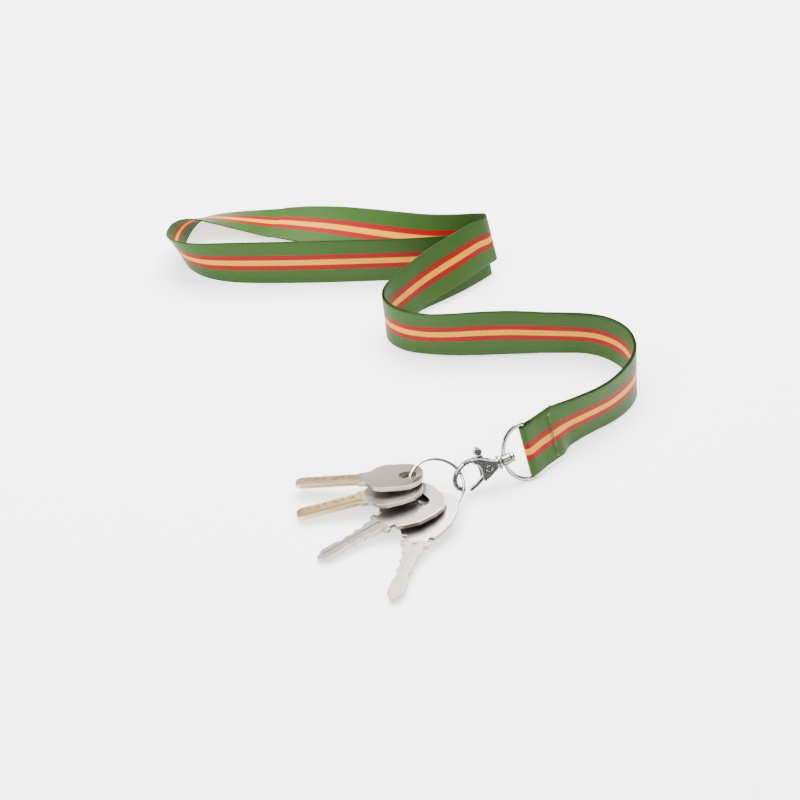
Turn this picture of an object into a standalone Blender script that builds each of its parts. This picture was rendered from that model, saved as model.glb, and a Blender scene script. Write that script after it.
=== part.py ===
"""A neck lanyard with a trigger clasp, a split ring and four keys, lying on a table.

Lengths below are in millimetres in a working frame; SHIFT and MM take them
to world metres with the footprint centred on the origin and the table at z = 0.
"""
import math

import bmesh
import bpy
import numpy as np
from mathutils import Matrix, Vector

MM = 0.001
SHIFT = Vector((2.9, -10.2, 0.0))

# webbing
WIDTH = 25.0
THICK = 0.6
PITCH = 0.55            # each of the two plies from their common middle line
STITCH_PITCH = 0.95     # the three plies in the sewn hem
WRAP_R = 1.6            # webbing's middle line round the bar
HEM_COUNT = 4            # stations of the doubled strip inside the straight hem
STEPS = 3               # segments between two stations

# wire and ring sizes
BAR_R = 1.0
BAR_HALF = 13.75
ARC_DEPTH = 12.0
RING_R = 12.2
COIL_R = 0.6
COIL_PITCH = 1.26

# the doubled strip from the hem to the far fold: x, y, z of the middle, lean in degrees
PAIR = [
    (57.3, -47.7, 14.0, 21), (60.6, -44.6, 13.9, 19), (65.4, -39.6, 13.5, 17),
    (70.9, -34.0, 13.0, 14), (76.0, -29.2, 12.7, 10), (82.5, -24.6, 12.7, 5),
    (89.5, -19.9, 12.7, 3), (97.0, -14.2, 12.7, 5), (104.0, -6.6, 12.7, 8),
    (108.6, 1.5, 12.7, 8), (110.0, 10.0, 12.7, 4), (108.4, 18.6, 12.7, 1),
    (104.0, 25.6, 12.7, 0), (97.0, 30.6, 12.7, 1), (88.5, 33.0, 12.7, 2),
    (77.0, 33.3, 12.7, 0), (63.4, 32.9, 12.7, -3), (50.8, 32.5, 12.7, -4),
    (36.8, 31.8, 12.7, -4), (23.0, 31.3, 12.7, -2), (12.0, 32.2, 12.7, 0),
    (2.5, 35.2, 12.7, 1), (-4.2, 40.2, 12.7, 3), (-6.8, 46.0, 12.8, 5),
    (-4.8, 51.8, 13.2, 11), (0.2, 58.0, 14.0, 19), (7.5, 66.1, 14.9, 20),
    (13.0, 71.2, 15.9, 23), (19.8, 76.6, 17.2, 26), (27.1, 82.1, 18.6, 26),
    (33.5, 87.0, 19.8, 23), (38.6, 91.1, 20.6, 20),
]
# how far the left-hand ply is above (+) or below (-) the right-hand one
PLY_RISE = {15: 0.4, 16: 1.2, 17: 1.8, 18: 1.8, 19: 1.4, 20: 0.8, 21: 0.2,
            25: -1.0, 26: -2.4, 27: -3.8, 28: -5.2, 29: -6.6, 30: -7.8, 31: -8.6}

# the single strip round the loop: edge that starts low, edge that starts high
LOOP = [
    ((46.4, 92.0, 8.6), (40.2, 96.0, 32.6)),
    ((48.4, 94.0, 8.8), (42.2, 98.4, 32.8)),
    ((48.6, 95.6, 8.6), (42.6, 100.6, 32.4)),
    ((47.0, 96.8, 8.0), (41.4, 102.2, 31.8)),
    ((42.0, 97.2, 6.6), (38.0, 104.2, 30.0)),
    ((31.0, 97.6, 4.0), (28.6, 108.6, 26.0)),
    ((16.0, 99.6, 1.8), (15.0, 114.4, 21.6)),
    ((0.0, 103.4, 0.8), (0.0, 121.2, 17.8)),
    ((-17.0, 108.2, 0.6), (-16.0, 129.0, 14.0)),
    ((-34.0, 113.4, 0.7), (-32.0, 136.0, 9.8)),
    ((-52.0, 117.6, 1.4), (-48.0, 141.4, 6.0)),
    ((-68.0, 120.2, 3.2), (-62.0, 143.8, 3.0)),
    ((-82.0, 121.6, 6.0), (-76.0, 145.0, 1.0)),
    ((-94.0, 122.2, 9.4), (-88.0, 144.2, 0.4)),
    ((-103.0, 121.6, 12.6), (-98.0, 141.4, 0.4)),
    ((-110.0, 119.2, 14.8), (-103.6, 136.6, 0.4)),
    ((-114.6, 114.6, 15.8), (-107.0, 130.4, 0.4)),
    ((-116.6, 107.8, 16.4), (-109.4, 122.4, 0.4)),
    ((-116.2, 100.8, 17.8), (-110.6, 113.0, 0.4)),
    ((-114.2, 94.8, 20.2), (-109.4, 104.0, 0.4)),
    ((-110.8, 90.4, 22.4), (-105.6, 96.4, 0.4)),
    ((-105.6, 88.0, 23.8), (-99.4, 91.2, 0.4)),
    ((-98.0, 87.0, 24.6), (-92.0, 88.0, 0.4)),
    ((-87.0, 86.9, 25.1), (-83.0, 86.2, 0.4)),
    ((-74.0, 87.2, 25.2), (-72.0, 85.8, 0.3)),
    ((-58.0, 87.6, 25.2), (-57.0, 85.8, 0.3)),
    ((-38.0, 88.4, 25.2), (-38.0, 86.3, 0.3)),
    ((-16.0, 89.4, 25.2), (-16.0, 87.4, 0.3)),
    ((4.0, 90.4, 25.2), (4.0, 88.6, 0.3)),
    ((20.0, 92.2, 25.1), (21.0, 90.0, 0.3)),
    ((31.0, 94.2, 25.0), (34.0, 91.8, 0.3)),
    ((38.0, 96.0, 24.8), (42.6, 93.6, 0.3)),
    ((40.6, 96.4, 24.7), (45.4, 94.2, 0.3)),
    ((41.4, 95.6, 24.7), (46.2, 93.0, 0.3)),
]

# hardware frames
BAR_DIR = Vector((-0.258, 0.270, 0.927)).normalized()
BAR_AT = Vector((57.3, -47.7, 14.0))
CLASP_AIM = Vector((-0.905, -0.395, -0.155)).normalized()
RING_AT = Vector((16.2, -64.5, 9.1))
RING_E1 = Vector((0.989, 0.079, -0.127)).normalized()
RING_E2 = Vector((-0.020, 0.910, 0.415))


def clear_scene():
    """Take away whatever the file starts with."""
    for item in list(bpy.data.objects):
        bpy.data.objects.remove(item, do_unlink=True)


def collection(name):
    """A named collection under the scene's own."""
    made = bpy.data.collections.new(name)
    bpy.context.scene.collection.children.link(made)
    return made


def material(name, colour, roughness, metallic):
    """One Principled material."""
    mat = bpy.data.materials.new(name)
    mat.use_nodes = True
    shader = mat.node_tree.nodes["Principled BSDF"]
    shader.inputs["Base Color"].default_value = (*colour, 1.0)
    shader.inputs["Roughness"].default_value = roughness
    shader.inputs["Metallic"].default_value = metallic
    mat.diffuse_color = (*colour, 1.0)
    return mat


def world(point):
    """Working millimetres to world metres."""
    return (Vector(point) + SHIFT) * MM


def placed(at, x_axis, y_axis):
    """World matrix of a local millimetre frame standing at a working point."""
    x_dir = Vector(x_axis).normalized()
    z_dir = x_dir.cross(Vector(y_axis)).normalized()
    y_dir = z_dir.cross(x_dir)
    turn = Matrix((x_dir, y_dir, z_dir)).transposed().to_4x4()
    return Matrix.Translation(world(at)) @ turn


def add_mesh(name, verts, faces, mat, matrix, group):
    """A mesh object from local millimetre points."""
    mesh = bpy.data.meshes.new(name)
    mesh.from_pydata([Vector(v) * MM for v in verts], [], faces)
    mesh.validate()
    body = bpy.data.objects.new(name, mesh)
    body.matrix_world = matrix
    mesh.materials.append(mat)
    group.objects.link(body)
    outward(mesh)
    return body


def outward(mesh):
    """Every face turned to the outside."""
    work = bmesh.new()
    work.from_mesh(mesh)
    bmesh.ops.recalc_face_normals(work, faces=work.faces)
    work.to_mesh(mesh)
    work.free()


def tube(name, points, radius, mat, matrix, group, cyclic=False, sides=2):
    """A round wire along local millimetre points."""
    curve = bpy.data.curves.new(name, "CURVE")
    curve.dimensions = "3D"
    curve.bevel_depth = radius * MM
    curve.bevel_resolution = sides
    curve.use_fill_caps = not cyclic
    spline = curve.splines.new("POLY")
    spline.points.add(len(points) - 1)
    for slot, point in zip(spline.points, points):
        slot.co = (*(Vector(point) * MM), 1.0)
    spline.use_cyclic_u = cyclic
    curve.materials.append(mat)
    wire = bpy.data.objects.new(name, curve)
    wire.matrix_world = matrix
    group.objects.link(wire)
    return wire


def meshed(item, group):
    """The curve object as a welded mesh object of the same name."""
    bpy.context.view_layer.update()
    graph = bpy.context.evaluated_depsgraph_get()
    mesh = bpy.data.meshes.new_from_object(item.evaluated_get(graph))
    work = bmesh.new()
    work.from_mesh(mesh)
    bmesh.ops.remove_doubles(work, verts=work.verts, dist=1e-6)
    bmesh.ops.recalc_face_normals(work, faces=work.faces)
    work.to_mesh(mesh)
    work.free()
    name = item.name
    matrix = item.matrix_world.copy()
    bpy.data.objects.remove(item, do_unlink=True)
    solid = bpy.data.objects.new(name, mesh)
    solid.matrix_world = matrix
    group.objects.link(solid)
    return solid


def prism(name, outline, low, high, mat, matrix, group):
    """A flat outline given thickness along the local Z axis."""
    count = len(outline)
    verts = [(x, y, low) for x, y in outline] + [(x, y, high) for x, y in outline]
    faces = [tuple(range(count))[::-1], tuple(range(count, 2 * count))]
    for i in range(count):
        j = (i + 1) % count
        faces.append((i, j, count + j, count + i))
    return add_mesh(name, verts, faces, mat, matrix, group)


def disc(radius, count=24, at=(0.0, 0.0)):
    """Points of a circle."""
    steps = [2 * math.pi * i / count for i in range(count)]
    return [(at[0] + radius * math.cos(a), at[1] + radius * math.sin(a)) for a in steps]


def lathe(name, profile, mat, matrix, group, count=24):
    """A solid turned about the local X axis from (x, radius) points."""
    verts = []
    faces = []
    for x, radius in profile:
        for y, z in disc(radius, count):
            verts.append((x, y, z))
    rows = len(profile)
    for row in range(rows - 1):
        for i in range(count):
            j = (i + 1) % count
            a = row * count
            b = a + count
            faces.append((a + i, a + j, b + j, b + i))
    faces.append(tuple(range(count)))
    faces.append(tuple(range((rows - 1) * count, rows * count)))
    return add_mesh(name, verts, faces, mat, matrix, group)


def boolean(body, other, kind):
    """An exact Boolean modifier with another object."""
    step = body.modifiers.new(kind.lower() + "_" + other.name, "BOOLEAN")
    step.operation = kind
    step.solver = "EXACT"
    step.object = other
    other.hide_render = True
    other.display_type = "WIRE"


def bevel(body, width, segments=2, angle=35):
    """Rounded edges."""
    step = body.modifiers.new("round", "BEVEL")
    step.width = width * MM
    step.segments = segments
    step.limit_method = "ANGLE"
    step.angle_limit = math.radians(angle)


def smooth_row(rows, steps):
    """Catmull-Rom through rows of numbers."""
    grid = np.array(rows, float)
    grid = np.vstack([2 * grid[0] - grid[1], grid, 2 * grid[-1] - grid[-2]])
    out = []
    for i in range(1, len(grid) - 2):
        a, b, c, d = grid[i - 1:i + 3]
        for k in range(steps):
            t = k / steps
            out.append(0.5 * (2 * b + (c - a) * t + (2 * a - 5 * b + 4 * c - d) * t ** 2
                              + (3 * b - a - 3 * c + d) * t ** 3))
    out.append(grid[-2])
    return np.array(out)


def pair_frames():
    """Middle, direction, right-hand normal and ruling at each station of the doubled strip."""
    mids = np.array([row[:3] for row in PAIR])
    runs = np.gradient(mids, axis=0)
    frames = []
    for i, row in enumerate(PAIR):
        run = Vector(runs[i]).normalized()
        left = Vector((-run.y, run.x, 0.0)).normalized()
        lift = run.cross(left)
        lean = math.radians(row[3])
        ruling = lift * math.cos(lean) + left * math.sin(lean)
        normal = run.cross(ruling).normalized()
        frames.append((Vector(mids[i]), run, normal, ruling))
    return frames


def ply_station(frame, offset, rise, flip):
    """Both edges of one ply beside the doubled strip's middle line."""
    mid, _, normal, ruling = frame
    spot = mid + normal * offset + Vector((0.0, 0.0, rise))
    low = spot - ruling * WIDTH / 2
    high = spot + ruling * WIDTH / 2
    if flip:
        return (*high, *low)
    return (*low, *high)


def hem_station(along, side, flip=False):
    """Both edges of a ply in the sewn hem, measured from the bar."""
    mid = BAR_AT + HEM_RUN * along + HEM_SIDE * side
    low = mid - BAR_DIR * WIDTH / 2
    high = mid + BAR_DIR * WIDTH / 2
    if flip:
        return (*high, *low)
    return (*low, *high)


HEM_RUN = Vector((0.72, 0.69, 0.0)).normalized()
HEM_RUN = (HEM_RUN - BAR_DIR * HEM_RUN.dot(BAR_DIR)).normalized()
HEM_SIDE = HEM_RUN.cross(BAR_DIR).normalized()


def strap_rows():
    """Edge pairs all along the closed strip, from the tail under the hem round to its start."""
    frames = pair_frames()
    rows = []
    for along, side in ((19.5, -0.95), (12.0, -0.95), (7.0, -1.0), (3.6, -1.35), (0.6, -1.6)):
        rows.append(hem_station(along, side))
    for turn in (25, 55, 90, 125, 155):
        angle = math.radians(turn)
        rows.append(hem_station(-WRAP_R * math.sin(angle), -WRAP_R * math.cos(angle)))
    for along, side in ((0.6, 1.6), (3.6, 1.35)):
        rows.append(hem_station(along, side))
    for along in (7.0, 11.0, 15.0, 19.0):
        rows.append(hem_station(along, STITCH_PITCH))
    for frame in frames[HEM_COUNT:]:
        rows.append(ply_station(frame, PITCH, 0.0, False))
    for low, high in LOOP:
        rows.append((*low, *high))
    for i in range(len(frames) - 1, HEM_COUNT - 1, -1):
        rows.append(ply_station(frames[i], -PITCH, PLY_RISE.get(i, 0.0), True))
    for along in (19.0, 15.0, 11.0, 7.0, 4.6):
        rows.append(hem_station(along, 0.0, True))
    return smooth_row(rows, STEPS)


def build_strap(group):
    """The closed strip of webbing as one solid."""
    verts = []
    for row in strap_rows():
        first = Vector(row[:3])
        second = Vector(row[3:])
        across = (second - first).normalized() * WIDTH
        if first.z < second.z:
            verts += [first, first + across]
        else:
            verts += [second - across, second]
    faces = []
    for i in range(len(verts) // 2 - 1):
        a = 2 * i
        faces.append((a, a + 1, a + 3, a + 2))
    mat = material("webbing", (0.09, 0.22, 0.05), 0.62, 0.0)
    mesh = bpy.data.meshes.new("strap")
    mesh.from_pydata([world(v) for v in verts], [], faces)
    mesh.materials.append(mat)
    strap = bpy.data.objects.new("strap", mesh)
    group.objects.link(strap)
    skin = strap.modifiers.new("thickness", "SOLIDIFY")
    skin.thickness = THICK * MM
    skin.offset = 0.0
    return strap


def build_tacks(group):
    """Zigzag sewing on the two outer faces of the hem."""
    mat = material("thread", (0.42, 0.46, 0.12), 0.7, 0.0)
    for name, side in (("tack_thread_front", 1.0), ("tack_thread_rear", -1.0)):
        points = []
        for i in range(29):
            along = 12.4 if i % 2 else 16.6
            points.append((along, side * (STITCH_PITCH + 0.7), -9.8 + 0.7 * i))
        matrix = placed(BAR_AT, HEM_RUN, HEM_SIDE)
        tube(name, points, 0.2, mat, matrix, group, sides=1)


def clasp_axes():
    """Swivel axis square to the bar, and the clasp's width and thickness directions."""
    aim = (CLASP_AIM - BAR_DIR * CLASP_AIM.dot(BAR_DIR)).normalized()
    wide = Vector((-0.31, 0.41, 0.86))
    wide = (wide - aim * wide.dot(aim)).normalized()
    return aim, wide


def build_d_ring(group, cuts, mat):
    """Wire D with a bored boss for the swivel."""
    aim, _ = clasp_axes()
    matrix = placed(BAR_AT, aim, BAR_DIR)
    points = [(0.0, y, 0.0) for y in (-13.4, -7.0, 0.0, 7.0, 13.4)]
    points += [(0.5, BAR_HALF - 0.05, 0.0), (1.1, BAR_HALF, 0.0)]
    for i in range(1, 22):
        angle = math.pi / 2 - math.pi * i / 22
        points.append((1.6 + (ARC_DEPTH - 1.6) * math.cos(angle), BAR_HALF * math.sin(angle), 0.0))
    points += [(1.1, -BAR_HALF, 0.0), (0.5, 0.05 - BAR_HALF, 0.0)]
    ring = meshed(tube("d_ring", points, BAR_R, mat, matrix, group, cyclic=True, sides=3), group)
    boss = lathe("boss", [(9.2, 2.1), (9.6, 2.5), (13.0, 2.5), (13.4, 2.1)], mat, matrix, cuts)
    bore = lathe("boss_bore", [(8.0, 1.3), (15.0, 1.3)], mat, matrix, cuts)
    boolean(ring, boss, "UNION")
    boolean(ring, bore, "DIFFERENCE")
    return ring


def build_rivet(group, mat):
    """Headed swivel rivet through the boss into the clasp."""
    aim, wide = clasp_axes()
    matrix = placed(BAR_AT, aim, wide)
    profile = [(7.0, 1.2), (7.3, 1.9), (7.9, 2.2), (8.8, 2.2), (8.82, 0.95), (16.0, 0.95), (16.3, 0.6)]
    return lathe("swivel_rivet", profile, mat, matrix, group, 20)


BODY = [(16.0, 2.1), (18.2, 3.2), (20.8, 4.8), (23.3, 6.1), (25.8, 6.4), (27.0, 5.8), (26.4, 4.3),
        (24.6, 3.0), (23.9, 0.6), (24.0, -2.0), (24.5, -4.0), (23.7, -5.4), (20.8, -4.4),
        (18.2, -3.1), (16.0, -2.1)]
HOOK = [(23.5, 5.0), (25.6, 5.5), (28.0, 5.9), (30.4, 5.5), (32.8, 4.3), (34.8, 2.6), (36.2, 0.5),
        (36.6, -1.8), (35.8, -3.9), (34.5, -5.1), (33.3, -5.8)]
PIVOT = (20.4, 0.0)


def build_clasp(group, cuts, mat):
    """Clasp body: flange, neck, cheeks and hook in one casting."""
    aim, wide = clasp_axes()
    matrix = placed(BAR_AT, aim, wide)
    body = prism("clasp_body", BODY, -2.5, 2.5, mat, matrix, group)
    bevel(body, 0.5, 2, 50)
    neck = lathe("neck", [(13.9, 2.9), (14.2, 3.3), (15.0, 3.3), (15.3, 2.3), (16.4, 2.2), (17.6, 2.2)],
                 mat, matrix, cuts)
    hook = meshed(tube("hook", [(x, y, 0.0) for x, y in HOOK], 1.15, mat, matrix, cuts, sides=3), cuts)
    bore = lathe("rivet_bore", [(13.0, 1.25), (17.0, 1.25)], mat, matrix, cuts, 20)
    slot_line = [(18.1, -9.0), (29.0, -9.0), (29.0, 2.6), (24.0, 2.6), (23.4, 8.5), (18.1, 8.5)]
    slot = prism("slot", slot_line, -1.5, 1.5, mat, matrix, cuts)
    hole = prism("pin_hole", disc(1.05, 20, PIVOT), -4.0, 4.0, mat, matrix, cuts)
    boolean(body, neck, "UNION")
    boolean(body, slot, "DIFFERENCE")
    boolean(body, hook, "UNION")
    boolean(body, bore, "DIFFERENCE")
    boolean(body, hole, "DIFFERENCE")
    return body


GATE = [(21.9, -1.4), (24.5, -3.0), (27.6, -4.7), (30.9, -5.9), (31.4, -6.7), (30.6, -7.3),
        (26.6, -5.9), (23.2, -4.0), (20.6, -2.0), (18.8, -1.2), (18.4, 0.2), (19.0, 1.6),
        (20.2, 2.6), (21.0, 5.2), (21.7, 7.6), (22.9, 7.6), (22.4, 4.8), (22.2, 2.2), (22.5, 0.4)]


def build_gate(group, cuts, mat):
    """Sprung gate lever with its round thumb tab, turning on the pin."""
    aim, wide = clasp_axes()
    pivot = BAR_AT + aim * PIVOT[0] + wide * PIVOT[1]
    matrix = placed(pivot, aim, wide)
    shape = [(x - PIVOT[0], y - PIVOT[1]) for x, y in GATE]
    gate = prism("gate_lever", shape, -1.2, 0.3, mat, matrix, group)
    tab = prism("tab", disc(1.9, 20, (2.2, 8.6)), -1.9, 1.9, mat, matrix, cuts)
    bevel(tab, 0.5, 2)
    hole = prism("gate_hole", disc(1.1, 20), -3.0, 3.0, mat, matrix, cuts)
    boolean(gate, tab, "UNION")
    boolean(gate, hole, "DIFFERENCE")
    pin_frame = placed(pivot, aim.cross(wide), aim)
    profile = [(-3.3, 1.2), (-3.1, 1.5), (-2.8, 1.5), (-2.78, 0.75), (2.78, 0.75), (2.8, 1.5),
               (3.1, 1.5), (3.3, 1.2)]
    lathe("gate_pin", profile, mat, pin_frame, group, 20)
    coil = []
    for i in range(25):
        angle = 2 * math.pi * i / 14
        coil.append((0.72 + 0.022 * i, 1.25 * math.cos(angle), 1.25 * math.sin(angle)))
    tube("gate_spring", coil, 0.14, mat, pin_frame, group, sides=1)


def build_split_ring(group, mat):
    """Two close turns of spring wire."""
    matrix = placed(RING_AT, RING_E1, RING_E2)
    points = []
    count = 104
    start = math.radians(122)
    for i in range(count + 1):
        angle = start + 4 * math.pi * i / count
        turn = 2.0 * i / count
        step = max(-0.5, min(0.5, (turn - 1.0) / 0.16))
        points.append((RING_R * math.cos(angle), RING_R * math.sin(angle), COIL_PITCH * step))
    return tube("split_ring", points, COIL_R, mat, matrix, group, sides=2)


def key_frame(hole, tip, roll):
    """Frame with X from the hole to the tip, turned about it by the roll."""
    x_axis = (Vector(tip) - Vector(hole)).normalized()
    side = Vector((0.0, 0.0, 1.0)).cross(x_axis).normalized()
    side = Matrix.Rotation(math.radians(roll), 3, x_axis) @ side
    return placed(hole, x_axis, side)


BOW = [(-6.6, -4.0), (-6.9, 0.0), (-6.6, 4.0), (-4.9, 8.2), (-1.2, 11.2), (3.6, 12.0), (11.0, 12.0),
       (14.6, 10.2), (16.6, 7.0), (18.4, 5.6), (22.0, 5.0)]
DIMPLES = [(25.0, 1.4, 1.5), (29.2, 1.9, 1.2), (32.6, 1.2, 1.6), (37.2, 1.8, 1.3), (40.8, 1.3, 1.5),
           (44.8, 1.8, 1.2)]


def dimple_key(name, hole, tip, roll, length, group, cuts, mat):
    """Flat security key: wide bow, shoulder stub, grooved blade with drilled dimples."""
    matrix = key_frame(hole, tip, roll)
    right = [(x, y) for x, y in BOW] + [(22.0, 4.0), (length - 2.2, 4.0), (length, 2.2)]
    left = [(x, -y) for x, y in reversed(right) if y != 0.0]
    key = prism(name, right + left, -1.0, 1.0, mat, matrix, group)
    bevel(key, 0.3, 2, 60)
    cutter = prism(name + "_hole", disc(3.9, 28), -3.0, 3.0, mat, matrix, cuts)
    boolean(key, cutter, "DIFFERENCE")
    for side in (-1.0, 1.0):
        groove = [(19.5, 2.1 * side), (length + 1.0, 2.1 * side), (length + 1.0, 3.0 * side), (19.5, 3.0 * side)]
        low = 0.65 if side > 0 else -1.5
        cutter = prism(name + "_groove" + ("a" if side > 0 else "b"), groove, low, low + 0.85, mat, matrix, cuts)
        boolean(key, cutter, "DIFFERENCE")
    for i, (x, y, radius) in enumerate(DIMPLES):
        pit = prism(f"{name}_pit{i}", disc(radius, 12, (x, -y + 0.4)), 0.55, 2.0, mat, matrix, cuts)
        boolean(key, pit, "DIFFERENCE")
    return key


CAR_SIDE = [(-8.6, 4.2), (-7.0, 8.8), (-3.4, 12.2), (1.6, 13.2), (9.0, 12.6), (15.2, 9.4), (18.0, 7.6),
            (18.0, 5.2), (20.4, 5.2), (20.4, 6.8), (23.2, 6.8), (23.6, 4.4)]
CUT_TOP = [(28.0, 4.4), (29.4, 3.2), (31.0, 3.2), (32.4, 4.0), (34.2, 2.8), (36.0, 2.8), (37.4, 3.8),
           (39.6, 2.6), (41.4, 2.6), (43.0, 3.6), (45.4, 3.6)]


def car_key(name, hole, tip, roll, length, group, cuts, mat):
    """Double-edged car key: broad bow with a long slot, shoulders, centre groove and cut edges."""
    matrix = key_frame(hole, tip, roll)
    right = CAR_SIDE + CUT_TOP + [(length - 4.0, 3.6), (length, 0.9)]
    left = [(x, -y) for x, y in reversed(right)]
    key = prism(name, right + left, -1.05, 1.05, mat, matrix, group)
    bevel(key, 0.3, 2, 60)
    slot = []
    for middle, first in ((2.2, 0), (-2.2, 180)):
        for i in range(11):
            angle = math.radians(first + 18 * i)
            slot.append((0.6 + 3.1 * math.cos(angle), middle + 3.1 * math.sin(angle)))
    cutter = prism(name + "_slot", slot, -3.0, 3.0, mat, matrix, cuts)
    boolean(key, cutter, "DIFFERENCE")
    for side in (-1.0, 1.0):
        low = 0.6 if side > 0 else -1.6
        groove = [(22.0, -1.1), (length - 3.0, -1.1), (length - 3.0, 1.1), (22.0, 1.1)]
        cutter = prism(name + "_groove" + ("a" if side > 0 else "b"), groove, low, low + 1.0, mat, matrix, cuts)
        boolean(key, cutter, "DIFFERENCE")
    return key


KEYS = {
    "key_upper": ((3.4, -62.0, 11.5), (-48.0, -60.0, 5.1), 20, 50.0),
    "key_lower": ((3.2, -66.7, 9.7), (-46.8, -77.0, 2.0), 17, 50.0),
    "key_car_left": ((9.5, -72.4, 7.3), (-33.7, -101.3, 1.7), 12, 54.0),
    "key_car_front": ((13.5, -74.7, 5.0), (-1.5, -120.7, 2.2), 14, 54.0),
}


def main():
    """Everything, in one collection named for the object."""
    clear_scene()
    group = collection("lanyard")
    cuts = collection("cutters")
    nickel = material("nickel", (0.62, 0.60, 0.57), 0.22, 1.0)
    steel = material("key_steel", (0.52, 0.49, 0.44), 0.3, 1.0)
    build_strap(group)
    build_tacks(group)
    build_d_ring(group, cuts, nickel)
    build_rivet(group, nickel)
    build_clasp(group, cuts, nickel)
    build_gate(group, cuts, nickel)
    build_split_ring(group, nickel)
    for name, (hole, tip, roll, length) in KEYS.items():
        maker = car_key if "car" in name else dimple_key
        maker(name, hole, tip, roll, length, group, cuts, steel)


main()
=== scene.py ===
"""Looks for a striped webbing lanyard with its clasp, split ring and keys."""
import math

import bmesh
import bpy
import numpy as np
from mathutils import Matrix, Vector

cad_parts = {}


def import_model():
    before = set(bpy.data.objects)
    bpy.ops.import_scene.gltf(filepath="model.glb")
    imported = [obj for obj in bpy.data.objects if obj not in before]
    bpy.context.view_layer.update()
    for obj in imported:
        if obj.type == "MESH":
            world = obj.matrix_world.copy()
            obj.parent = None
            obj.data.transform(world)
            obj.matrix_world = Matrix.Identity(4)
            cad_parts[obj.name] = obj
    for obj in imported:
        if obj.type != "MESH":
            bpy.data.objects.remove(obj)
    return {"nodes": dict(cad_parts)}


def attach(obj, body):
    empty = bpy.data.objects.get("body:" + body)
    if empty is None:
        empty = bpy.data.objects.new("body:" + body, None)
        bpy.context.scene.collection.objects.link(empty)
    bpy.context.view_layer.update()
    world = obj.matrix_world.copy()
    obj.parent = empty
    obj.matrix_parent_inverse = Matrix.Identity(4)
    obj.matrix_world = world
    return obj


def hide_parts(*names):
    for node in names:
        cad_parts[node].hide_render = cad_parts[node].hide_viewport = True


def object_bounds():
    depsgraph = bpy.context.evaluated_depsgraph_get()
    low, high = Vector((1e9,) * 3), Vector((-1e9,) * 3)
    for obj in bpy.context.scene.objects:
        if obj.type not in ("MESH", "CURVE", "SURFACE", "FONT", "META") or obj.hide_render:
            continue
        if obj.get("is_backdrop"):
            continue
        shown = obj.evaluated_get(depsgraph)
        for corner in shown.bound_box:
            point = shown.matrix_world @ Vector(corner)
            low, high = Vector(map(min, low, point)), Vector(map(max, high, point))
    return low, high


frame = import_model()
start_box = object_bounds()

MM = 0.001
SHIFT = Vector((2.9, -10.2, 0.0))

# webbing, in millimetres, on the route that the frame was built on
WIDTH = 25.0
THICK = 0.6
PITCH = 0.55
STITCH_PITCH = 0.95
WRAP_R = 1.6
HEM_COUNT = 4
STEPS = 5
ACROSS = (-1.0, -0.965, -0.9, -0.7, -0.45, -0.2, 0.0, 0.2, 0.45, 0.7, 0.9, 0.965, 1.0)

# the doubled strip from the hem to the far fold: x, y, z of the middle, lean in degrees
PAIR = [
    (57.3, -47.7, 14.0, 21), (60.6, -44.6, 13.9, 19), (65.4, -39.6, 13.5, 17),
    (70.9, -34.0, 13.0, 14), (76.0, -29.2, 12.7, 10), (82.5, -24.6, 12.7, 5),
    (89.5, -19.9, 12.7, 3), (97.0, -14.2, 12.7, 5), (104.0, -6.6, 12.7, 8),
    (108.6, 1.5, 12.7, 8), (110.0, 10.0, 12.7, 4), (108.4, 18.6, 12.7, 1),
    (104.0, 25.6, 12.7, 0), (97.0, 30.6, 12.7, 1), (88.5, 33.0, 12.7, 2),
    (77.0, 33.3, 12.7, 0), (63.4, 32.9, 12.7, -3), (50.8, 32.5, 12.7, -4),
    (36.8, 31.8, 12.7, -4), (23.0, 31.3, 12.7, -2), (12.0, 32.2, 12.7, 0),
    (2.5, 35.2, 12.7, 1), (-4.2, 40.2, 12.7, 3), (-6.8, 46.0, 12.8, 5),
    (-4.8, 51.8, 13.2, 11), (0.2, 58.0, 14.0, 19), (7.5, 66.1, 14.9, 20),
    (13.0, 71.2, 15.9, 23), (19.8, 76.6, 17.2, 26), (27.1, 82.1, 18.6, 26),
    (33.5, 87.0, 19.8, 23), (38.6, 91.1, 20.6, 20),
]
# how far the left-hand ply is above (+) or below (-) the right-hand one
PLY_RISE = {15: 0.4, 16: 1.2, 17: 1.8, 18: 1.8, 19: 1.4, 20: 0.8, 21: 0.2,
            25: -1.0, 26: -2.4, 27: -3.8, 28: -5.2, 29: -6.6, 30: -7.8, 31: -8.6}

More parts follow.
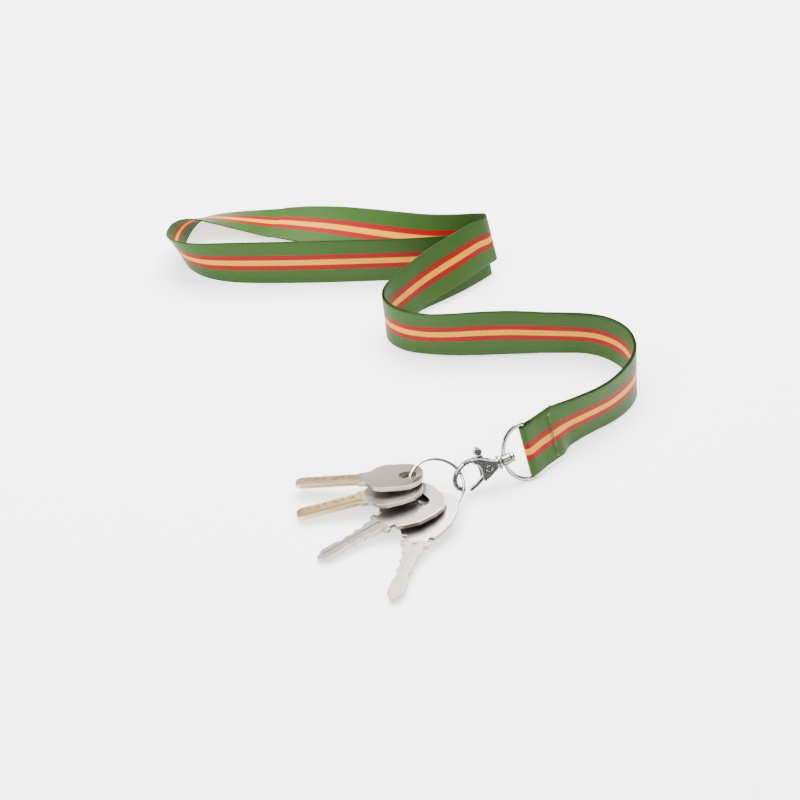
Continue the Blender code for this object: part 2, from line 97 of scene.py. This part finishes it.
# the single strip round the loop: edge that starts low, edge that starts high
LOOP = [
    ((46.4, 92.0, 8.6), (40.2, 96.0, 32.6)),
    ((48.4, 94.0, 8.8), (42.2, 98.4, 32.8)),
    ((48.6, 95.6, 8.6), (42.6, 100.6, 32.4)),
    ((47.0, 96.8, 8.0), (41.4, 102.2, 31.8)),
    ((42.0, 97.2, 6.6), (38.0, 104.2, 30.0)),
    ((31.0, 97.6, 4.0), (28.6, 108.6, 26.0)),
    ((16.0, 99.6, 1.8), (15.0, 114.4, 21.6)),
    ((0.0, 103.4, 0.8), (0.0, 121.2, 17.8)),
    ((-17.0, 108.2, 0.6), (-16.0, 129.0, 14.0)),
    ((-34.0, 113.4, 0.7), (-32.0, 136.0, 9.8)),
    ((-52.0, 117.6, 1.4), (-48.0, 141.4, 6.0)),
    ((-68.0, 120.2, 3.2), (-62.0, 143.8, 3.0)),
    ((-82.0, 121.6, 6.0), (-76.0, 145.0, 1.0)),
    ((-94.0, 122.2, 9.4), (-88.0, 144.2, 0.4)),
    ((-103.0, 121.6, 12.6), (-98.0, 141.4, 0.4)),
    ((-110.0, 119.2, 14.8), (-103.6, 136.6, 0.4)),
    ((-114.6, 114.6, 15.8), (-107.0, 130.4, 0.4)),
    ((-116.6, 107.8, 16.4), (-109.4, 122.4, 0.4)),
    ((-116.2, 100.8, 17.8), (-110.6, 113.0, 0.4)),
    ((-114.2, 94.8, 20.2), (-109.4, 104.0, 0.4)),
    ((-110.8, 90.4, 22.4), (-105.6, 96.4, 0.4)),
    ((-105.6, 88.0, 23.8), (-99.4, 91.2, 0.4)),
    ((-98.0, 87.0, 24.6), (-92.0, 88.0, 0.4)),
    ((-87.0, 86.9, 25.1), (-83.0, 86.2, 0.4)),
    ((-74.0, 87.2, 25.2), (-72.0, 85.8, 0.3)),
    ((-58.0, 87.6, 25.2), (-57.0, 85.8, 0.3)),
    ((-38.0, 88.4, 25.2), (-38.0, 86.3, 0.3)),
    ((-16.0, 89.4, 25.2), (-16.0, 87.4, 0.3)),
    ((4.0, 90.4, 25.2), (4.0, 88.6, 0.3)),
    ((20.0, 92.2, 25.1), (21.0, 90.0, 0.3)),
    ((31.0, 94.2, 25.0), (34.0, 91.8, 0.3)),
    ((38.0, 96.0, 24.8), (42.6, 93.6, 0.3)),
    ((40.6, 96.4, 24.7), (45.4, 94.2, 0.3)),
    ((41.4, 95.6, 24.7), (46.2, 93.0, 0.3)),
]

# the sewn hem: the bar's direction and middle, the way the strip leaves it, and its near side
BAR_DIR = Vector((-0.258, 0.270, 0.927)).normalized()
BAR_AT = Vector((57.3, -47.7, 14.0))
HEM_RUN = Vector((0.72, 0.69, 0.0)).normalized()
HEM_RUN = (HEM_RUN - BAR_DIR * HEM_RUN.dot(BAR_DIR)).normalized()
HEM_SIDE = HEM_RUN.cross(BAR_DIR).normalized()

# the strip in the hem: distance along from the bar and distance to the side, or degrees round the bar
TAIL_PLY = ((19.5, -0.95), (12.0, -0.95), (7.0, -1.0), (3.6, -1.35), (0.6, -1.6))
WRAP_TURNS = (25, 55, 90, 125, 155)
FRONT_PLY = ((0.6, 1.6), (3.6, 1.35))
FRONT_FLAT = (7.0, 11.0, 15.0, 19.0)
CORE_FLAT = (19.0, 15.0, 11.0, 7.0, 4.6)
SELVEDGE_THIN = 0.45

# the zigzag sewing on the hem
ZIGZAG_POINTS = 45
ZIGZAG_RUN = (15.6, 13.4)
ZIGZAG_LIFT = (0.48, 0.44)
ZIGZAG_HALF = 10.8
THREAD_RADIUS = 0.00011

# woven stripes, then a band of painted shade at both edges, from the middle of the strip outwards, each edge as
# its start and end
YELLOW_EDGE = (1.35, 1.75)
RED_EDGE = (4.15, 4.75)
EDGE_SHADE_BAND = (11.95, 12.3)
WEFT_PITCH = 0.52
WARP_PITCH = 0.42

# colours, linear
SIDE_SHADE = (0.13, 0.12, 0.11)
SIDE_TILT = (-0.1, 0.62)
BRASS = (0.60, 0.46, 0.28)
STEEL = (0.42, 0.39, 0.35)
GREEN_LIT = (0.034, 0.082, 0.013)
GREEN_DEEP = (0.024, 0.072, 0.008)
# the darker green of the painted shade along both edges of the strip
GREEN_EDGE_SHADE = (0.012, 0.030, 0.006)
RED = (0.27, 0.002, 0.001)
YELLOW = (0.78, 0.33, 0.0)


# where a key's blade tone starts, in metres from its ring, and how far it takes to change
BLADE_START = 0.020
BLADE_FADE = 0.0006

# each key: node, material name, where its ring passes, its tip, and its blade's colour
KEYS = (
    ("key_upper", "key_plate_a", (3.4, -62.0, 11.5), (-48.0, -60.0, 5.1), BRASS),
    ("key_lower", "key_plate_b", (3.2, -66.7, 9.7), (-46.8, -77.0, 2.0), BRASS),
    ("key_car_left", "key_plate_c", (9.5, -72.4, 7.3), (-33.7, -101.3, 1.7), STEEL),
    ("key_car_front", "key_plate_d", (13.5, -74.7, 5.0), (-1.5, -120.7, 2.2), STEEL),
)

# the surround that the metal reflects: height from 0 to 1, grey
SURROUND_BANDS = (
    (0.18, 0.04), (0.34, 0.30), (0.46, 1.0), (0.60, 0.9), (0.68, 0.35), (0.78, 0.30), (0.86, 1.0),
)


def world(point):
    """Working millimetres to world metres."""
    return (Vector(point) + SHIFT) * MM


def smooth_row(rows, steps):
    """Catmull-Rom through rows of numbers."""
    grid = np.array(rows, float)
    grid = np.vstack([2 * grid[0] - grid[1], grid, 2 * grid[-1] - grid[-2]])
    out = []
    for i in range(1, len(grid) - 2):
        a, b, c, d = grid[i - 1:i + 3]
        for k in range(steps):
            t = k / steps
            out.append(0.5 * (2 * b + (c - a) * t + (2 * a - 5 * b + 4 * c - d) * t ** 2
                              + (3 * b - a - 3 * c + d) * t ** 3))
    out.append(grid[-2])
    return np.array(out)


def pair_frames():
    """Middle, right-hand normal and ruling at each station of the doubled strip."""
    mids = np.array([row[:3] for row in PAIR])
    runs = np.gradient(mids, axis=0)
    frames = []
    for i, row in enumerate(PAIR):
        run = Vector(runs[i]).normalized()
        left = Vector((-run.y, run.x, 0.0)).normalized()
        lift = run.cross(left)
        lean = math.radians(row[3])
        ruling = lift * math.cos(lean) + left * math.sin(lean)
        normal = run.cross(ruling).normalized()
        frames.append((Vector(mids[i]), normal, ruling))
    return frames


def ply_station(station, offset, rise, flip):
    """Both edges of one ply beside the doubled strip's middle line."""
    mid, normal, ruling = station
    spot = mid + normal * offset + Vector((0.0, 0.0, rise))
    low = spot - ruling * WIDTH / 2
    high = spot + ruling * WIDTH / 2
    if flip:
        return (*high, *low)
    return (*low, *high)


def hem_station(along, side, flip=False):
    """Both edges of a ply in the sewn hem, measured from the bar."""
    mid = BAR_AT + HEM_RUN * along + HEM_SIDE * side
    low = mid - BAR_DIR * WIDTH / 2
    high = mid + BAR_DIR * WIDTH / 2
    if flip:
        return (*high, *low)
    return (*low, *high)


def strap_rows():
    """Edge pairs all along the closed strip, from the tail under the hem round to its start."""
    frames = pair_frames()
    rows = []
    for along, side in TAIL_PLY:
        rows.append(hem_station(along, side))
    for turn in WRAP_TURNS:
        angle = math.radians(turn)
        rows.append(hem_station(-WRAP_R * math.sin(angle), -WRAP_R * math.cos(angle)))
    for along, side in FRONT_PLY:
        rows.append(hem_station(along, side))
    for along in FRONT_FLAT:
        rows.append(hem_station(along, STITCH_PITCH))
    for station in frames[HEM_COUNT:]:
        rows.append(ply_station(station, PITCH, 0.0, False))
    for low, high in LOOP:
        rows.append((*low, *high))
    for i in range(len(frames) - 1, HEM_COUNT - 1, -1):
        rows.append(ply_station(frames[i], -PITCH, PLY_RISE.get(i, 0.0), True))
    for along in CORE_FLAT:
        rows.append(hem_station(along, 0.0, True))
    return smooth_row(rows, STEPS)


def edge_rows():
    """First edge, second edge and normal all along the strip, every ruling one width long."""
    ends = []
    for row in strap_rows():
        first = Vector(row[:3])
        second = Vector(row[3:])
        across = (second - first).normalized() * WIDTH
        if first.z < second.z:
            ends.append((first, first + across))
        else:
            ends.append((second - across, second))
    mids = np.array([(a + b) / 2 for a, b in ends])
    runs = np.gradient(mids, axis=0)
    rows = []
    for (first, second), run in zip(ends, runs):
        normal = Vector(run).cross(second - first).normalized()
        rows.append((first, second, normal))
    steps = np.linalg.norm(np.diff(mids, axis=0), axis=1)
    return rows, np.concatenate([[0.0], np.cumsum(steps)])


def webbing_mesh():
    """The closed strip: two woven faces, two selvedges and two cut ends, with width and length as UV."""
    rows, lengths = edge_rows()
    verts = []
    coords = []
    for side in (1.0, -1.0):
        for (first, second, normal), along in zip(rows, lengths):
            for u in ACROSS:
                half = THICK / 2 * (SELVEDGE_THIN if abs(u) == 1.0 else 1.0)
                spot = first.lerp(second, (u + 1) / 2) + normal * half * side
                verts.append(world(spot))
                coords.append(((u + 1) / 2, along / WIDTH))
    wide = len(ACROSS)
    count = len(rows)
    back = wide * count
    faces = []
    for i in range(count - 1):
        for k in range(wide - 1):
            a = i * wide + k
            faces.append((a, a + 1, a + wide + 1, a + wide))
            faces.append((back + a, back + a + wide, back + a + wide + 1, back + a + 1))
        for k in (0, wide - 1):
            a = i * wide + k
            faces.append((a, a + wide, back + a + wide, back + a))
    for i in (0, count - 1):
        for k in range(wide - 1):
            a = i * wide + k
            faces.append((a, a + 1, back + a + 1, back + a))
    mesh = bpy.data.meshes.new("webbing_strap")
    mesh.from_pydata(verts, [], faces)
    layer = mesh.uv_layers.new(name="weave")
    for loop in mesh.loops:
        layer.data[loop.index].uv = coords[loop.vertex_index]
    work = bmesh.new()
    work.from_mesh(mesh)
    bmesh.ops.recalc_face_normals(work, faces=work.faces)
    work.to_mesh(mesh)
    work.free()
    for face in mesh.polygons:
        face.use_smooth = True
    return mesh, lengths[-1] * MM


class Nodes:
    """Short hand for building one material's node tree."""

    def __init__(self, name):
        self.mat = bpy.data.materials.new(name)
        self.mat.use_nodes = True
        self.tree = self.mat.node_tree
        self.shader = self.tree.nodes["Principled BSDF"]

    def add(self, kind, **inputs):
        """A node with input values or links set by name (underscore for space)."""
        node = self.tree.nodes.new(kind)
        for key, value in inputs.items():
            self.put(node.inputs[key.replace("_", " ")], value)
        return node

    def put(self, socket, value):
        """A socket's constant or its link."""
        if isinstance(value, bpy.types.NodeSocket):
            self.tree.links.new(value, socket)
        elif isinstance(value, tuple) and len(value) == 3 and socket.type == "RGBA":
            socket.default_value = (*value, 1.0)
        else:
            socket.default_value = value

    def math(self, operation, first, second=0.0, third=0.0, clamp=False):
        """One math node's result."""
        node = self.tree.nodes.new("ShaderNodeMath")
        node.operation = operation
        node.use_clamp = clamp
        for socket, value in zip(node.inputs, (first, second, third)):
            self.put(socket, value)
        return node.outputs[0]

    def band(self, value, low, high):
        """0 below low, 1 above high, smooth between."""
        node = self.tree.nodes.new("ShaderNodeMapRange")
        node.interpolation_type = "SMOOTHSTEP"
        for key, number in (("Value", value), ("From Min", low), ("From Max", high)):
            self.put(node.inputs[key], number)
        return node.outputs["Result"]

    def mix(self, factor, first, second):
        """Two colours mixed."""
        node = self.tree.nodes.new("ShaderNodeMix")
        node.data_type = "RGBA"
        self.put(node.inputs["Factor"], factor)
        self.put(node.inputs[6], first)
        self.put(node.inputs[7], second)
        return node.outputs[2]

    def noise(self, scale, detail=3.0, vector=None, roughness=0.5):
        """Noise value."""
        node = self.add("ShaderNodeTexNoise", Scale=scale, Detail=detail, Roughness=roughness)
        if vector is not None:
            self.put(node.inputs["Vector"], vector)
        return node.outputs["Fac"]

    def bump(self, height, distance, strength=1.0, normal=None):
        """Bump into the shader's normal."""
        node = self.add("ShaderNodeBump", Strength=strength, Distance=distance, Height=height)
        if normal is not None:
            self.put(node.inputs["Normal"], normal)
        self.put(self.shader.inputs["Normal"], node.outputs["Normal"])
        return node.outputs["Normal"]

    def set(self, **values):
        """Principled inputs."""
        for key, value in values.items():
            self.put(self.shader.inputs[key.replace("_", " ")], value)
        return self.mat


def webbing_material():
    """Green satin webbing with a red, yellow and red stripe down its middle, on both faces."""
    n = Nodes("striped_webbing")
    uv = n.add("ShaderNodeUVMap")
    uv.uv_map = "weave"
    split = n.add("ShaderNodeSeparateXYZ", Vector=uv.outputs["UV"])
    u = n.math("ABSOLUTE", n.math("MULTIPLY_ADD", split.outputs["X"], WIDTH, -WIDTH / 2))
    along = n.math("MULTIPLY", split.outputs["Y"], WIDTH)
    side = n.math("MULTIPLY", split.outputs["X"], WIDTH)
    spot = n.add("ShaderNodeCombineXYZ", X=side, Y=along)
    wander = n.math("MULTIPLY_ADD", n.noise(1.1, 2.0, spot.outputs[0]), 0.34, -0.17)
    edge = n.math("ADD", u, wander)
    weft = n.math("SINE", n.math("MULTIPLY", along, 2 * math.pi / WEFT_PITCH))
    warp = n.math("SINE", n.math("MULTIPLY", side, 2 * math.pi / WARP_PITCH))
    weave = n.math("MULTIPLY_ADD", n.math("MULTIPLY", weft, warp), 0.5, n.math("MULTIPLY", weft, 0.35))
    stretched = n.add("ShaderNodeCombineXYZ", X=n.math("MULTIPLY", side, 5.0),
                      Y=n.math("MULTIPLY", along, 0.22))
    streak = n.noise(1.0, 4.0, stretched.outputs[0])
    cloud = n.noise(0.09, 2.0, spot.outputs[0])
    shade = n.math("MULTIPLY_ADD", streak, 0.5, n.math("MULTIPLY", cloud, 0.5), clamp=True)
    green = n.mix(shade, GREEN_DEEP, GREEN_LIT)
    red = n.mix(streak, (RED[0] * 0.78, RED[1] * 0.7, RED[2] * 0.7), RED)
    yellow = n.mix(streak, (YELLOW[0] * 0.86, YELLOW[1] * 0.78, YELLOW[2] * 0.7), YELLOW)
    colour = n.mix(n.band(edge, *YELLOW_EDGE), yellow, red)
    colour = n.mix(n.band(edge, *RED_EDGE), colour, green)
    # both edges of the strip darkened by painted shade
    colour = n.mix(n.math("MULTIPLY", n.band(u, *EDGE_SHADE_BAND), 0.85), colour, GREEN_EDGE_SHADE)
    colour = n.mix(n.math("MULTIPLY_ADD", weave, 0.10, 0.08, clamp=True), colour, (0.02, 0.04, 0.012))
    n.set(Base_Color=colour, Roughness=n.math("MULTIPLY_ADD", streak, 0.16, 0.40), Sheen_Weight=0.03,
          Sheen_Roughness=0.4, Sheen_Tint=(0.75, 0.95, 0.6), Specular_IOR_Level=0.12)
    n.bump(n.math("ADD", n.math("MULTIPLY", weave, 0.5), n.math("MULTIPLY", streak, 0.5)), 0.00010, 0.55)
    return n.mat


def thread_material():
    """Twisted sewing thread."""
    n = Nodes("sewing_thread")
    place = n.add("ShaderNodeNewGeometry").outputs["Position"]
    speck = n.noise(2600.0, 2.0, place)
    colour = n.mix(speck, (0.16, 0.30, 0.05), (0.42, 0.56, 0.15))
    n.set(Base_Color=colour, Roughness=0.6, Sheen_Weight=0.3)
    n.bump(speck, 0.00008)
    return n.mat


def metal_material(name, colour, worn, rough, grain, rounded=0.00018):
    """Plated metal: small casting waves, fine scratches and a softened edge.

    Its base colour darkens where the surface doesn't face up, in place of dark reflections.
    """
    n = Nodes(name)
    place = n.add("ShaderNodeNewGeometry").outputs["Position"]
    broad = n.noise(grain, 3.0, place)
    fine = n.noise(grain * 14, 4.0, place, 0.7)
    streaks = n.add("ShaderNodeMapping", Vector=place, Scale=(600.0, 2600.0, 2600.0))
    scratch = n.noise(1.0, 3.0, streaks.outputs[0], 0.6)
    tint = n.mix(n.math("MULTIPLY_ADD", broad, 1.2, -0.2, clamp=True), worn, colour)
    facing = n.add("ShaderNodeSeparateXYZ", Vector=n.add("ShaderNodeNewGeometry").outputs["Normal"])
    shaded = tuple(part * dark for part, dark in zip(colour, SIDE_SHADE))
    tint = n.mix(n.band(facing.outputs["Z"], *SIDE_TILT), shaded, tint)
    n.set(Base_Color=tint, Metallic=1.0,
          Roughness=n.math("MULTIPLY_ADD", n.math("ADD", fine, scratch), 0.10, rough, clamp=True))
    bevel = n.add("ShaderNodeBevel", Radius=rounded)
    bevel.samples = 4
    n.bump(n.math("ADD", n.math("MULTIPLY", broad, 0.7), n.math("MULTIPLY", scratch, 0.25)), 0.00003, 0.15,
           bevel.outputs["Normal"])
    return n


def key_material(name, head, tip, blade):
    """Nickel-plated key, its blade in another tone past the shoulder."""
    n = metal_material(name, (0.68, 0.62, 0.56), (0.59, 0.53, 0.48), 0.24, 90.0)
    axis = (world(tip) - world(head)).normalized()
    place = n.add("ShaderNodeNewGeometry").outputs["Position"]
    offset = n.add("ShaderNodeVectorMath")
    offset.operation = "SUBTRACT"
    n.put(offset.inputs[0], place)
    offset.inputs[1].default_value = world(head)
    dot = n.add("ShaderNodeVectorMath")
    dot.operation = "DOT_PRODUCT"
    n.put(dot.inputs[0], offset.outputs[0])
    dot.inputs[1].default_value = axis
    mask = n.band(dot.outputs["Value"], BLADE_START, BLADE_START + BLADE_FADE)
    old = n.shader.inputs["Base Color"].links[0].from_socket
    dull = n.mix(n.noise(300.0, 3.0, place, 0.5), (blade[0] * 0.85, blade[1] * 0.82, blade[2] * 0.78), blade)
    n.set(Base_Color=n.mix(mask, old, dull))
    return n.mat


def paint(node, material):
    """One material on a CAD node."""
    item = frame["nodes"][node]
    for slot in item.material_slots:
        slot.material = material
    if not item.material_slots:
        item.data.materials.append(material)


def stitch_rows():
    """Fine zigzag stitches across the hem, on both outer faces."""
    for name, side, node in (("tack_front", 1.0, "tack_thread_front"), ("tack_rear", -1.0, "tack_thread_rear")):
        curve = bpy.data.curves.new(name, "CURVE")
        curve.dimensions = "3D"
        curve.bevel_depth = THREAD_RADIUS
        curve.bevel_resolution = 2
        curve.use_fill_caps = True
        spline = curve.splines.new("POLY")
        spline.points.add(ZIGZAG_POINTS - 1)
        for i, point in enumerate(spline.points):
            lift = STITCH_PITCH + ZIGZAG_LIFT[i % 2]
            across = ZIGZAG_HALF * (2 * i / (ZIGZAG_POINTS - 1) - 1)
            spot = BAR_AT + HEM_RUN * ZIGZAG_RUN[i % 2] + HEM_SIDE * side * lift + BAR_DIR * across
            point.co = (*world(spot), 1.0)
        item = bpy.data.objects.new(name, curve)
        bpy.context.scene.collection.objects.link(item)
        item.data.materials.append(THREAD)
        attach(item, "webbing")
        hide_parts(node)
        yield item


def area_light(name, place, aim, size, power):
    """A square softbox."""
    lamp = bpy.data.lights.new(name, "AREA")
    lamp.shape = "RECTANGLE"
    lamp.size, lamp.size_y = size
    lamp.energy = power
    item = bpy.data.objects.new(name, lamp)
    item.location = place
    item.rotation_euler = (Vector(aim) - Vector(place)).to_track_quat("-Z", "Y").to_euler()
    bpy.context.scene.collection.objects.link(item)


def studio():
    """Camera, pale floor, soft light and a banded surround for the metal to reflect."""
    scene = bpy.context.scene
    lens = bpy.data.cameras.new("camera")
    lens.lens = 85.0
    lens.sensor_width = 36.0
    camera = bpy.data.objects.new("camera", lens)
    camera.location = world((0.0, -648.6, 604.8))
    aim = world((0.0, 0.0, 0.0)) - camera.location
    camera.rotation_euler = aim.to_track_quat("-Z", "Y").to_euler()
    scene.collection.objects.link(camera)
    scene.camera = camera

    bpy.ops.mesh.primitive_plane_add(size=6.0, location=(0.0, 0.0, 0.0))
    floor = bpy.context.object
    floor.name = "floor"
    n = Nodes("white_table")
    n.set(Base_Color=(0.95, 0.95, 0.95), Roughness=0.7, Specular_IOR_Level=0.1,
          Emission_Color=(1.0, 1.0, 1.0), Emission_Strength=1.6)
    floor.data.materials.append(n.mat)
    floor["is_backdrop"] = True

    area_light("key_light", (-0.55, -0.25, 0.95), (0.0, 0.0, 0.0), (0.7, 0.7), 14.0)
    area_light("fill_light", (0.75, -0.55, 0.7), (0.0, 0.0, 0.0), (0.6, 0.6), 4.0)
    area_light("top_light", (0.05, 0.45, 1.0), (0.0, 0.0, 0.0), (1.1, 0.8), 50.0)

    surround = bpy.data.worlds.new("surround")
    surround.use_nodes = True
    scene.world = surround
    tree = surround.node_tree
    sky = tree.nodes["Background"]
    sky.inputs["Strength"].default_value = 0.22
    ray = tree.nodes.new("ShaderNodeLightPath")
    place = tree.nodes.new("ShaderNodeTexCoord")
    split = tree.nodes.new("ShaderNodeSeparateXYZ")
    tree.links.new(place.outputs["Generated"], split.inputs[0])
    ramp = tree.nodes.new("ShaderNodeValToRGB")
    ramp.color_ramp.elements[0].position = 0.0
    ramp.color_ramp.elements[0].color = (0.05, 0.05, 0.05, 1.0)
    ramp.color_ramp.elements[1].position = 1.0
    ramp.color_ramp.elements[1].color = (1.0, 1.0, 1.0, 1.0)
    for spot, grey in SURROUND_BANDS:
        step = ramp.color_ramp.elements.new(spot)
        step.color = (grey, grey, grey, 1.0)
    tree.links.new(split.outputs["Z"], ramp.inputs[0])
    mix = tree.nodes.new("ShaderNodeMix")
    mix.data_type = "RGBA"
    tree.links.new(ray.outputs["Is Glossy Ray"], mix.inputs["Factor"])
    mix.inputs[6].default_value = (1.0, 1.0, 1.0, 1.0)
    tree.links.new(ramp.outputs["Color"], mix.inputs[7])
    tree.links.new(mix.outputs[2], sky.inputs["Color"])


studio()

strap_mesh, strap_length = webbing_mesh()
strap = bpy.data.objects.new("webbing_strap", strap_mesh)
bpy.context.scene.collection.objects.link(strap)
strap_mesh.materials.append(webbing_material())
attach(strap, "webbing")
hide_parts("strap")

THREAD = thread_material()
stitches = list(stitch_rows())

nickel = metal_material("bright_nickel", (0.60, 0.59, 0.58), (0.46, 0.45, 0.43), 0.12, 420.0, 0.00007).mat
for part in ("d_ring", "swivel_rivet", "clasp_body", "gate_lever", "gate_pin", "gate_spring", "split_ring"):
    paint(part, nickel)
for part, name, head, tip, blade in KEYS:
    paint(part, key_material(name, head, tip, blade))

[[list(corner) for corner in box] for box in (start_box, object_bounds())]
